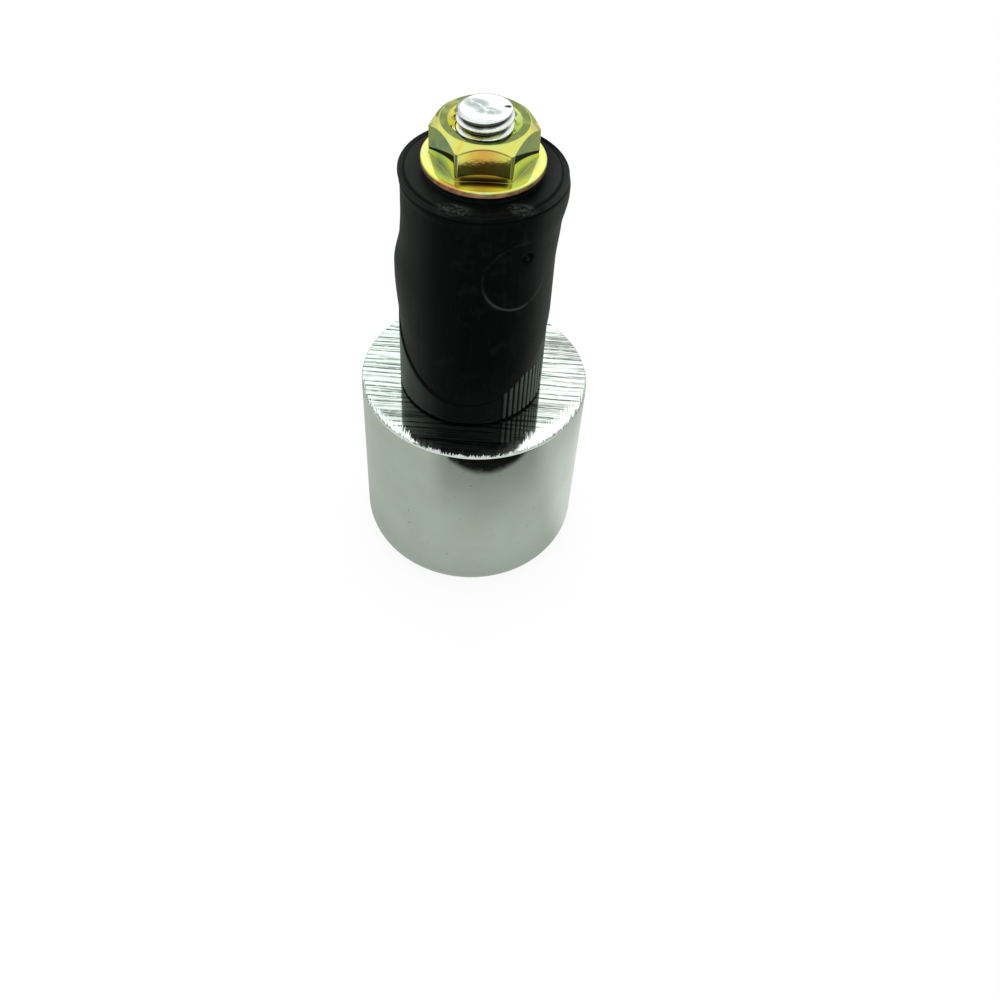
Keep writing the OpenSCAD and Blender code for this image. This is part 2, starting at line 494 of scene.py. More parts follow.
class Finish(Nodes):
    """A material made of nodes. Positions are in mm, from the centre of the weight's outer face."""

    def __init__(self, name):
        self.material = bpy.data.materials.new(name)
        self.material.use_nodes = True
        super().__init__(self.material.node_tree)
        here = self.add("ShaderNodeTexCoord", out="Object")
        self.mm = self.add("ShaderNodeVectorMath", {"operation": "SCALE"}, {0: here, "Scale": 1000.0})
        self.x, self.y, self.z = self.parts(self.mm)

    def join(self, x, y, z):
        return self.add("ShaderNodeCombineXYZ", None, {0: x, 1: y, 2: z})

    def noise(self, where, scale=1.0, detail=2.0, rough=0.5, twist=0.0):
        sockets = {"Vector": where, "Scale": scale, "Detail": detail, "Roughness": rough, "Distortion": twist}
        return self.add("ShaderNodeTexNoise", {"noise_dimensions": "3D"}, sockets)

    def mix(self, amount, first, second):
        """Colour that goes from first to second as amount goes from 0 to 1."""
        sockets = {0: amount, 6: first, 7: second}
        return self.add("ShaderNodeMix", {"data_type": "RGBA"}, sockets, out=2)

    def blend_normals(self, amount, first, second):
        """Normal that goes from first to second as amount goes from 0 to 1."""
        sockets = {0: amount, 4: first, 5: second}
        return self.add("ShaderNodeMix", {"data_type": "VECTOR"}, sockets, out=1)

    def bump(self, height_mm):
        return self.add("ShaderNodeBump", None, {"Strength": 1.0, "Distance": 0.001, "Height": height_mm})

    def around(self):
        """Angle of a point round the axis, in radians."""
        return self.y.angle(self.x)

    def off_axis(self):
        return (self.x * self.x + self.y * self.y).root()

    def spot(self, x, y, wide, deep):
        """1 in the middle of an oval seen from above, falling smoothly to 0 at its edge."""
        dx, dy = (self.x - x) / wide, (self.y - y) / deep
        return (dx * dx + dy * dy).ramp(0.15, 1.0, 1.0, 0.0)

    def stripe(self, across, pitch):
        """Swings between -1 and 1 once in every pitch."""
        return (across * (2 * math.pi / pitch)).sine()

    def mark(self, turn, spot):
        """Distance in mm from a spot on the plug's wall, given by its angle and level."""
        aside, along = (turn - spot[0]) * PLUG_R, self.z - spot[1]
        return (aside * aside + along * along).root()

    def shade(self, **sockets):
        """Ends the material in one Principled shader."""
        named = {name.replace("_", " "): value for name, value in sockets.items()}
        shader = self.add("ShaderNodeBsdfPrincipled", None, named)
        self.add("ShaderNodeOutputMaterial", None, {"Surface": shader})
        return self.material


def chrome_finish(look):
    """Bright plate on the turned barrel, with a faint wave and a few fine marks."""
    f = Finish("chrome_barrel")
    cloud = f.noise(f.mm, 0.22, 2.0)
    haze = f.noise(f.mm, 1.3, 3.0).ramp(0.5, 0.8)
    pit = f.noise(f.mm, 2.4, 1.0).ramp(0.76, 0.80)
    tint = f.mix(cloud.ramp(0.35, 0.7), look.plate, toned(look.plate, (0.95, 0.94, 0.91)))
    return f.shade(
        Base_Color=f.mix(pit * 0.5, tint, look.dull_and_shaded_marks),
        Metallic=1.0,
        Roughness=haze * 0.05 + look.gloss,
        Normal=f.bump(cloud * 0.006 + pit * -0.004),
    )


def shoulder_finish(look):
    """Chrome over parallel saw marks, polished away in a ragged band along the rim."""
    f = Finish("chrome_sawn_shoulder")
    along, across = turned(f.x, f.y, GRAIN_TURN)
    row = across + f.noise(f.join(along * 0.12, across * 0.3, 0.0), 1.0, 1.0) * 0.5
    broad = f.noise(f.join(along * 0.06, row * 1.25, 0.0), 1.0, 2.0, 0.6)
    thin = f.noise(f.join(along * 0.08, row * 2.8, 5.0), 1.0, 2.0, 0.6)
    patchy = f.noise(f.join(along * 0.35, row * 1.0, 9.0), 1.0, 2.0, 0.5)
    broken = f.noise(f.join(along * 0.9, row * 2.4, 7.0), 1.0, 2.0, 0.6)
    back, front_right, front_left = (f.spot(*oval) for oval in HATCHED)
    hatched = back.most(front_right * 0.8).most(front_left * 0.8)

    # Dark lines a saw pitch apart, thin ones among them, and close ones in the hatched places: dull valleys
    # with painted shade in them
    dark = f.stripe(row, SAW_PITCH).ramp(0.25, 0.9) * broad.ramp(0.36, 0.52, 0.1, 0.95)
    dark = dark.most((thin + hatched * 0.03).ramp(0.55, 0.62) * 0.8)
    dark = dark * broken.ramp(0.31, 0.52, 0.45, 1.0)
    hatching = f.stripe(row, HATCH_PITCH).ramp(-0.5, 0.7) * hatched
    dark = dark.most(hatching * patchy.ramp(0.34, 0.6, 0.25, 0.85))

    # The polished band, its inner edge torn into teeth that run across the saw marks
    radius = f.off_axis()
    teeth = f.noise(f.join(along * 6.5, across * 0.12, 4.0), 1.0, 2.0, 0.7)
    width = polished_width(f.around(), Wire.close_to)
    ragged = (teeth - 0.5) * width.ramp(0.0, 1.4, 2.4, 4.6)
    band = (radius - (WEIGHT_R - width) + ragged).ramp(-0.06, 0.06) * width.ramp(0.02, 0.15)
    turned_over = (radius - (WEIGHT_R - 0.34) + (teeth - 0.5) * 1.8).most(0.0)

    dark = dark * (1.0 - band)
    # Mint towards the left: a painted reflection tint
    mint = toned(look.plate, (0.9, 1.0, 0.97))
    sawn = f.bump(broad * 0.009 + thin * 0.005)
    polished = f.bump(radius * -look.dub - turned_over * 0.36 + teeth * 0.003)
    return f.shade(
        Base_Color=f.mix(dark, f.mix(f.x.ramp(-12.0, 4.0, 0.6, 0.0), look.plate, mint), look.dull_and_shaded_marks),
        Metallic=1.0,
        Roughness=dark * 0.04 + 0.05,
        Normal=f.blend_normals(band, sawn, polished),
    )


def zinc_finish(look):
    """Silver zinc with a soft cloudy grain, and painted shade in the roots of the thread."""
    f = Finish("silver_zinc")
    cloud = f.noise(f.mm, 2.2, 4.0, 0.6)
    fine = f.noise(f.mm, 9.0, 2.0)
    tint = f.mix(cloud.ramp(0.45, 0.7), look.zinc, toned(look.zinc, 0.85))
    # Painted shade in the roots of the thread, short of the tip and the head
    root = f.off_axis().ramp(NUT_CREST_R, NUT_CREST_R + 0.3, 1.0, 0.0)
    root = root * f.z.ramp(SCREW_TIP - 0.16, SCREW_TIP - 0.08, 1.0, 0.0)
    root = root * f.z.ramp(HEAD_SEAT + 2, HEAD_SEAT + 3)
    return f.shade(
        Base_Color=f.mix(root * 0.9, tint, look.root),
        Metallic=1.0,
        Roughness=cloud * 0.12 + 0.08,
        Normal=f.bump(fine * 0.004 + cloud * 0.006),
    )


def cut_end_finish(look):
    """The sawn end of the screw: bright, with a grey smear across it and a nick in painted shade."""
    f = Finish("silver_zinc_end")
    cloud = f.noise(f.mm, 1.1, 3.0, 0.6)
    grit = f.noise(f.mm, 5.0, 3.0, 0.7)
    smear = f.spot(*SMEARED[0]).most(f.spot(*SMEARED[1])) * cloud.ramp(0.30, 0.46)
    return f.shade(
        # The nick is a spot of painted shade
        Base_Color=f.mix(f.spot(*NICK), f.mix(smear * 0.9, look.zinc, look.smear), look.root),
        Metallic=1.0,
        Roughness=cloud * 0.15 + 0.12,
        Normal=f.bump(grit * 0.004 + cloud * 0.02),
    )


def nut_finish(look):
    """Yellow zinc. The colour follows the thickness of the film, which differs from face to face, and holds
    painted reflections and painted shade.
    """
    f = Finish("yellow_zinc")
    cloud = f.noise(f.mm, 0.55, 3.0, 0.55, 0.6) - 0.5
    fine = f.noise(f.mm, 3.0, 3.0, 0.6)
    forward, aside = turned(f.x, f.y, NUT_TURN)
    turn = aside.angle(forward)
    front, left, right = turn.close_to(0.0, 0.7), turn.close_to(-1.05, 0.62), turn.close_to(1.05, 0.62)
    radius, height = f.off_axis(), f.z - NUT_FOOT
    upward = f.parts(f.add("ShaderNodeNewGeometry", out="Normal"))[2]

    # Thickness of the film on the flats, on the flange at their foot and on the chamfer; its shift from face
    # to face and the streaks on the flange are partly painted reflections
    flats = front * 0.32 - left * 0.16 - right * 0.10 + cloud * (1.0 - front * 0.8) * 0.6 + 0.27
    streak = f.noise(f.join(turn * 5.0, radius * 0.4, 3.0), 1.0, 3.0, 0.6) - 0.5
    foot = turn.close_to(-0.55, 0.5) * radius.ramp(5.9, 6.4) * 0.42 + cloud * 0.25 + streak * 0.5 + 0.27
    top = turn.close_to(-0.5, 0.12) * 0.14 + cloud * 0.3 + streak * 0.12 + 0.31
    on_flats, on_top = height.ramp(0.80, 1.02), upward.ramp(0.3, 0.6) * height.ramp(1.6, 1.9)
    side = on_flats * (1.0 - on_top)
    film = (foot * (1.0 - on_flats) + flats * on_flats) * (1.0 - on_top) + top * on_top
    bands = zip(
        (0.0, 0.2, 0.38, 0.6, 0.8, 1.0),
        (look.teal, look.lime, look.yellow, look.gold, look.rose, look.brown),
    )
    tint = f.add("ShaderNodeValToRGB", {"stops": list(bands)}, {0: film})

    # The flat crown and the countersink inside it
    crown = f.z.ramp(NUT_TOP - 0.10, NUT_TOP - 0.03) * radius.ramp(SINK_R - 0.1, SINK_R)
    crown = crown * radius.ramp(CROWN_R - 0.1, CROWN_R + 0.06, 1.0, 0.0)
    tint = f.mix(crown * (cloud * 1.2 + 0.95).least(1.0), tint, look.olive)
    sink = radius.ramp(SINK_R - 0.06, SINK_R, 1.0, 0.0)
    tint = f.mix(sink * 0.8, tint, f.mix(f.x.ramp(-1.5, 1.0), look.yellow, look.lime))

    # Painted shade in brown lines: along the chamfer, round the foot of the flats and up the corners, and
    # darker low on the front flats
    ahead = front.ramp(0.1, 0.4)
    edge = (f.z - chamfer_level(radius)).close_to(-0.10, 0.15) * ahead * (1.0 - on_top)
    edge = edge.most(height.close_to(0.93, 0.12) * radius.ramp(5.9, 6.1, 1.0, 0.0) * 0.7)
    edge = edge.most(abs(turn).close_to(math.pi / 6, 0.05) * side * 0.8)
    edge = edge.most(height.ramp(1.3, 2.0, 0.95, 0.0) * side * ahead)
    # Painted reflection of the black rubber on the flange's rim: rose and brown, duller and rougher
    rim = radius.ramp(FLANGE_R - 0.2, FLANGE_R - 0.02) * height.ramp(0.45, 0.72, 1.0, 0.0)
    tint = f.mix(edge * 0.85, tint, look.brown)
    # Painted shade: black low on the front flats
    tint = f.mix(height.ramp(1.2, 1.8, 0.85, 0.0) * side * ahead, tint, BLACK)
    tint = f.mix(rim * 0.9, tint, f.mix(cloud.ramp(-0.15, 0.15), look.rose, look.brown))
    return f.shade(
        Base_Color=tint,
        Metallic=1.0 - rim * 0.6,
        Roughness=fine * 0.03 + 0.02 + rim * 0.25,
        Normal=f.bump(fine * 0.0006 + cloud * 0.002),
    )


def rubber_finish(look, name, marks):
    """Satin black rubber with a dry bloom, painted sheen on its flanks and edges, a fine grain and the marks
    of one wedge.
    """
    f = Finish(name)
    cloud = f.noise(f.mm, 0.5, 4.0, 0.6)
    fine = f.noise(f.mm, 6.0, 3.0, 0.6)
    torn = f.noise(f.join(f.x * 1.6, f.y * 3.2, f.z * 1.6), 1.4, 3.0, 0.7)
    streak = f.noise(f.join(f.x * 2.0, f.y * 2.0, f.z * 0.25), 1.0, 3.0)
    amount = cloud.ramp(0.5, 0.75) * 0.2 + streak.ramp(0.55, 0.8) * 0.15
    # Painted sheen: paler flanks to the left and to the right
    flanks = (-f.x).ramp(2.5, 8.8).most(f.x.ramp(5.5, 8.8)) * (streak * 0.8 + 0.5)
    tint = f.mix(amount.most(flanks), look.rubber, look.dust_and_sheen)
    # Painted sheen along the outermost edges, left and right
    edges = f.x.ramp(6.5, 9.0, 0.0, 0.6).most((-f.x).ramp(7.0, 9.0, 0.0, 0.5))
    pale = toned(look.dust_and_sheen, 3.2)
    tint = f.mix(edges * cloud, tint, pale)
    tint = marks(f, look, tint, pale, cloud, torn)
    return f.shade(
        Base_Color=tint,
        Roughness=cloud * 0.16 + 0.34,
        Specular_IOR_Level=0.045,
        Normal=f.bump(fine * 0.005 + streak * 0.003 + cloud * 0.01),
    )


def lower_marks(f, look, tint, pale, cloud, torn):
    """Painted highlights on the ribs and the flanks, painted shade in the black grooves, at the black foot
    and along the black cut, and tears along the cut.
    """
    turn, above_cut = f.around(), f.z - CUT_MIDDLE - f.y
    painted_sheen = toned(look.dust_and_sheen, 6.5)
    # Painted sheen: paler towards the left, and palest along both flanks
    tint = f.mix((-f.x).ramp(2.0, 8.5) * (cloud * 0.5 + 0.5), tint, pale)
    tint = f.mix((-f.x).ramp(6.8, 8.9, 0.0, 0.45).most(f.x.ramp(7.2, 8.9, 0.0, 0.4)), tint, painted_sheen)
    ridge = (f.off_axis() + f.x * (mm(look.lean) / PLUG_R)).ramp(PLUG_R - 0.2, PLUG_R - 0.03)
    half = (look.rib_count - 1) / 2 * mm(look.rib_pitch) / PLUG_R
    rib_top = SHOULDER + mm(look.rib_height)
    patch = abs(turn - RIB_MIDDLE).ramp(half + 0.01, half + 0.05, 1.0, 0.0)
    patch = patch * f.z.ramp(rib_top - 0.3, rib_top, 1.0, 0.0)
    # Painted highlight on the rib ridges, brightest towards the right
    tint = f.mix(patch * ridge * (cloud * 0.6 + 0.5) * turn.ramp(-1.1, -0.3, 0.35, 1.0), tint, painted_sheen)
    # Painted shade in the grooves between the ribs
    tint = f.mix(patch * (1.0 - ridge), tint, BLACK)
    # Painted shade at the foot and along the cut, and black tears beside the cut
    foot = f.z.ramp(SHOULDER + 0.25, SHOULDER + 0.5, 1.0, 0.0)
    tears = turn.close_to(TORN_TURN, 0.3) * torn.ramp(0.5, 0.6) * above_cut.ramp(-1.6, -0.5)
    return f.mix(foot.most(tears).most(above_cut.ramp(-0.45, -0.2)), tint, BLACK)


def upper_marks(f, look, tint, pale, cloud, torn):
    """Painted shade in the dimple, along the cut, in the groove round the end face and in the crease; the
    round mark of the mould, painted sheen on the end face and the two trimmed spots.
    """
    turn, radius, above_cut = f.around(), f.off_axis(), f.z - CUT_MIDDLE - f.y
    wall = radius.ramp(PLUG_R - 1.0, PLUG_R - 0.6)
    away = f.mark(turn, DIMPLE)
    ring = away.ramp(DIMPLE_R - 0.3, DIMPLE_R) * away.ramp(DIMPLE_R + 0.15, DIMPLE_R + 0.4, 1.0, 0.0)
    witness = f.mark(turn, WITNESS).close_to(WITNESS_R, 0.26) * wall
    witness = witness * (f.z - WITNESS[1]).ramp(-3.4, -0.5, 1.0, 0.15)
    tint = f.mix(witness * cloud.ramp(0.35, 0.55) * 0.6, tint, pale)
    # Painted shade: black in the dimple's ring and along the cut
    tint = f.mix((ring * wall).most(above_cut.ramp(0.1, 0.35, 1.0, 0.0) * wall), tint, BLACK)
    end = f.z.ramp(PLUG_END - 0.6, PLUG_END - 0.2)
    # Painted sheen on the end face, strongest towards the left
    tint = f.mix(end * (-f.x).ramp(-2.0, 7.0, 0.1, 0.7) * (cloud + 0.2), tint, look.dust_and_sheen)
    # Painted shade in the groove inside the end face's rim and in the crease round the plug
    crease = (radius.close_to(PLUG_R - 0.4, 0.3) * end).most(f.z.close_to(CREASE, 0.3) * wall)
    tint = f.mix(crease, tint, BLACK)
    trimmed = f.spot(*TRIM_SPOTS[0], 2.4, 1.1).most(f.spot(*TRIM_SPOTS[1], 2.0, 1.1)) * end
    return f.mix(trimmed * torn.ramp(0.40, 0.66) * 0.8, tint, pale)


def floor_finish(look):
    """Pale paper. Metal shows it darker, with a painted black card in front that gives the chrome its depth,
    and painted shade and light round it.
    """
    f = Finish("pale_floor")
    far, turn = f.off_axis(), f.around()

    # Distance to the painted card, whose near edge bows away from the part to either side
    off = abs(turn - CARD_TURN)
    aside = ((off - CARD_HALF) * far).most(0.0)
    ahead = (off * off * 6.0 + CARD_NEAR - far).most(far - CARD_FAR).most(0.0)
    beyond = (aside * aside + ahead * ahead).root()
    painted_card = (beyond / far.ramp(36.0, 60.0, 1.0, 12.0)).ramp(0.2, 1.4, 1.0, 0.0)
    painted_card = painted_card * far.ramp(38.0, 60.0, 1.0, 0.6) * far.ramp(60.0, 90.0, 1.0, 0.0)

    # Painted shade round the card, in slow bands round the part and close to its foot
    bands = (turn * 3.0 + 0.6).sine().ramp(-0.6, 0.8) * far.ramp(42.0, 80.0) * 0.45
    shade = beyond.ramp(0.0, 14.0, 0.45, 0.0).most(bands).most(far.ramp(14.0, 21.0, 0.16, 0.0))

    # Painted reflection for the nut's front flat: dark up to an edge, and bright beyond it
    sideways = abs(turn - FLAT_SHOWS)
    edge = far - (turn - FLAT_SHOWS) * 14.0
    bright = sideways.ramp(0.12, 0.3, 1.0, 0.0) * edge.ramp(FLAT_EDGE, FLAT_EDGE + 0.8)
    # Painted light to the right of the part, as metal shows the floor
    right = turn.ramp(-0.4, 0.1) * turn.ramp(0.6, 1.2, 1.0, 0.0)
    bright = bright.most(right * far.ramp(40.0, 20.0) * 0.5)
    strip = sideways.ramp(0.06, 0.22, 0.85, 0.0) * edge.ramp(FLAT_EDGE, FLAT_EDGE + 0.3, 1.0, 0.0)
    strip = strip * far.ramp(78.0, 90.0)

    tone = f.mix(shade, look.mirrored, toned(look.mirrored, 0.12))
    tone = f.mix(bright, tone, (0.95, 0.98, 0.95))
    tone = f.mix(painted_card.most(strip), tone, (0.006, 0.007, 0.006))
    paper = f.mix(f.noise(f.mm, 0.05, 3.0), look.floor, toned(look.floor, 0.97))
    matt = f.add("ShaderNodeBsdfDiffuse", None, {"Color": paper})
    white = f.add("ShaderNodeEmission", None, {"Color": WHITE, "Strength": 1.03})
    reflected = f.add("ShaderNodeEmission", None, {"Color": tone, "Strength": 1.0})
    seen, glossy, through = (
        f.add("ShaderNodeLightPath", out=f"Is {kind} Ray") for kind in ("Camera", "Glossy", "Transmission")
    )
    lit = f.add("ShaderNodeMixShader", None, {0: seen * 0.86, 1: matt, 2: white})
    both = f.add("ShaderNodeMixShader", None, {0: glossy.most(through), 1: lit, 2: reflected})
    f.add("ShaderNodeOutputMaterial", None, {"Surface": both})
    return f.material


class BAR_END_OT_weight(bpy.types.Operator):
    """Build the chromed weight with its rounded outer edge and its sawn shoulder"""

    bl_idname = "bar_end.weight"
    bl_label = "Weight"

    def execute(self, context):
        look = context.scene.bar_end_weight
        angles = even_rays(360)
        corners = chain(angles, [
            (HEAD_BORE_R, WEIGHT_FOOT),
            (WEIGHT_R, WEIGHT_FOOT),
            (WEIGHT_R, SHOULDER),
            (SHANK_BORE_R, SHOULDER),
            (SHANK_BORE_R, HEAD_SEAT),
            (HEAD_BORE_R, HEAD_SEAT),
        ])
        rounds = (0.25, mm(look.outer_round), mm(look.rim_round), 0.1, 0.15, 0.15)
        rows = outline(corners, rounds, (4, 12, 92, 4, 2, 4))
        rows[..., 1] -= self.saw_marks(rows, angles, mm(look.saw_depth))
        width = np.maximum(polished_width(turn_from(angles, 0.0), near), 1e-6)
        inward = np.clip((rows[..., 0] - (WEIGHT_R - width)) / width, 0, 1)
        rows[..., 1] -= 0.5 * look.dub * width * inward**2 * (rows[..., 1] > SHOULDER - 0.5)
        finishes = [chrome_finish(look), shoulder_finish(look)]
        obj = solid("weight_chromed", rows, angles, finishes, pick=self.on_shoulder)
        place(obj, "weight", "end_weight")
        return {"FINISHED"}

    @staticmethod
    def on_shoulder(centres):
        """True for the faces of the sawn shoulder."""
        radius = np.hypot(centres[:, 0], centres[:, 1])
        ring = (radius > SHANK_BORE_R + 0.1) & (radius < WEIGHT_R - 0.07)
        return ring & (centres[:, 2] > SHOULDER - 0.3)

    @staticmethod
    def saw_marks(rows, angles, depth):
        """Depth below the shoulder at each point, from grooves that run along the saw cut."""
        x, y = rows[..., 0] * np.cos(angles), rows[..., 0] * np.sin(angles)
        along, across = turned(x, y, GRAIN_TURN)
        wander = 0.15 * grain(along * 0.2 + 40, across * 0.4 + 40, 3)
        marks = 0.6 * grain(along * 0.10 + 50, (across + wander) * 1.3 + 60, 1)
        marks += 0.4 * grain(along * 0.16 + 50, (across + wander) * 2.7 + 60, 2)
        on_top = ease(SHOULDER - 0.02, SHOULDER - 0.001, rows[..., 1])
        inside = ease(WEIGHT_R - 0.14, WEIGHT_R - 0.3, rows[..., 0])
        return depth * (1.2 + marks) * on_top * inside


class BAR_END_OT_screw(bpy.types.Operator):
    """Build the socket screw with its knurled head, key socket and thread"""

    bl_idname = "bar_end.screw"
    bl_label = "Screw"

    def execute(self, context):
        look = context.scene.bar_end_screw
        angles = even_rays(192)
        start = SCREW_TIP - mm(look.threaded)
        thread = self.thread(angles, start, mm(look.pitch))
        head, end = self.head(angles, start, look.knurls), self.end(angles, thread[-1, :, 0])
        rows = np.concatenate((head, thread, end))
        finishes = [zinc_finish(look), cut_end_finish(look)]
        obj = solid("screw_silver", rows, angles, finishes, closed=False, pick=self.on_end)
        place(obj, "screw", "screw")
        return {"FINISHED"}

    @staticmethod
    def head(angles, start, knurls):
        """Key socket, knurled head and plain shank, up to the start of the thread."""
        key = hex_radius(angles, KEY_AF / 2, 0.1, 0.0)
        floor = HEAD_FACE + KEY_DEPTH
        corners = chain(angles, [
            (0, floor + 0.5),
            (key, floor),
            (key, HEAD_FACE + 0.2),
            (np.maximum(key, 2.72), HEAD_FACE),
            (HEAD_R - HEAD_CHAMFER, HEAD_FACE),
            (HEAD_R, HEAD_FACE + HEAD_CHAMFER),
            (HEAD_R, HEAD_SEAT),
            (SCREW_R, HEAD_SEAT),
            (SCREW_R, start),
        ])
        rounds = (0, 0.08, 0.05, 0.05, 0.15, 0.15, 0.2, 0.25, 0)
        rows = outline(corners, rounds, (4, 4, 0, 2, 1, 14, 2, 14), closed=False, steps=4)
        teeth = np.abs((angles / (2 * np.pi) * knurls) % 1 - 0.5) * 2
        grip = ease(HEAD_FACE + 0.5, HEAD_FACE + 0.8, rows[..., 1])
        grip = grip * ease(HEAD_SEAT - 0.3, HEAD_SEAT - 0.6, rows[..., 1]) * (rows[..., 0] > HEAD_R - 0.02)
        rows[..., 0] -= 0.14 * teeth * grip
        return rows

    @staticmethod
    def thread(angles, start, pitch):
        """The thread, which runs out at its foot and into a chamfer at the tip, in finer rows near it."""
        fine_from = NUT_TOP - 2
        coarse = np.arange(start, fine_from, pitch / 8)[1:]
        fine = np.arange(fine_from, SCREW_TIP - 0.001, pitch / 32)
        height = np.concatenate((coarse, fine, [SCREW_TIP]))[:, None] * np.ones_like(angles)
        cut = thread_radius(angles, height, pitch, SCREW_R - 0.02, SCREW_ROOT_R)
        body = SCREW_R - (SCREW_R - cut) * ease(start, start + 1.5, height)
        taper = np.maximum(height - (SCREW_TIP - TIP_CHAMFER), 0) / TIP_CHAMFER * TIP_STEP
        return np.stack((np.minimum(body, SCREW_R - taper), height), -1)

    @staticmethod
    def end(angles, edge):
        """The cut end from its edge to the axis, a little hollow and uneven."""
        rows = []
        for t in np.linspace(0, 1, 22)[1:]:
            reach = edge * (1 - t)
            x, y = reach * np.cos(angles), reach * np.sin(angles)
            uneven = 0.03 * (1 + grain(x * 0.9 + 30, y * 1.4 + 30, 5)) * ease(0, 0.15, t)
            rows.append(np.stack((reach, SCREW_TIP - 0.05 * ease(1.0, 0.6, reach / 2.7) - uneven), -1))
        return np.array(rows)

    @staticmethod
    def on_end(centres):
        """True for the faces of the cut end."""
        return (centres[:, 2] > SCREW_TIP - 0.14) & (np.hypot(centres[:, 0], centres[:, 1]) < 2.62)


class BAR_END_OT_nut(bpy.types.Operator):
    """Build the flange nut with its chamfered crown, countersink and inner thread"""

    bl_idname = "bar_end.nut"
    bl_label = "Flange nut"

    def execute(self, context):
        look = context.scene.bar_end_nut
        pitch = mm(context.scene.bar_end_screw.pitch)
        corner = NUT_TURN + math.pi / 6
        sixth = np.radians(np.concatenate((np.linspace(-3, 3, 11), np.linspace(4, 56, 19))))
        angles = np.concatenate([sixth + corner + k * math.pi / 3 for k in range(6)])
        side = hex_radius(angles, NUT_APOTHEM, mm(look.edge_round), corner)
        rim = NUT_FOOT + RIM_HEIGHT
        sink_floor = NUT_TOP - (SINK_R - NUT_BORE_R)
        corners = chain(angles, [
            (NUT_BORE_R + 0.35, NUT_FOOT),
            (FLANGE_R, NUT_FOOT),
            (FLANGE_R, rim),
            (side, rim + RIM_RISE * (FLANGE_R - side) / (FLANGE_R - NUT_APOTHEM)),
            (side, chamfer_level(side)),
            (CROWN_R, NUT_TOP),
            (SINK_R, NUT_TOP),
            (NUT_BORE_R, sink_floor),
            (NUT_BORE_R, NUT_FOOT + 0.35),
        ])
        rounds = (0.03, 0.2, 0.2, 0.07, 0.12, mm(look.crown_round), 0.07, 0, 0)
        rows = outline(corners, rounds, (4, 1, 4, 8, 3, 3, 3, 58, 1))
        radius, height = rows[..., 0], rows[..., 1]
        inner = (radius < NUT_BORE_R + 0.01) & (height > NUT_FOOT + 0.3) & (height < NUT_TOP)
        thread = thread_radius(angles, height, pitch, NUT_BORE_R, NUT_CREST_R, gap=0.06)
        fade = ease(NUT_FOOT + 0.35, NUT_FOOT + 0.7, height) * ease(sink_floor, sink_floor - 0.3, height)
        rows[..., 0] = np.where(inner, NUT_BORE_R - (NUT_BORE_R - thread) * fade, radius)
        obj = solid("nut_yellow", rows, angles, [nut_finish(look)])
        place(obj, "nut", "flange_nut")
        return {"FINISHED"}


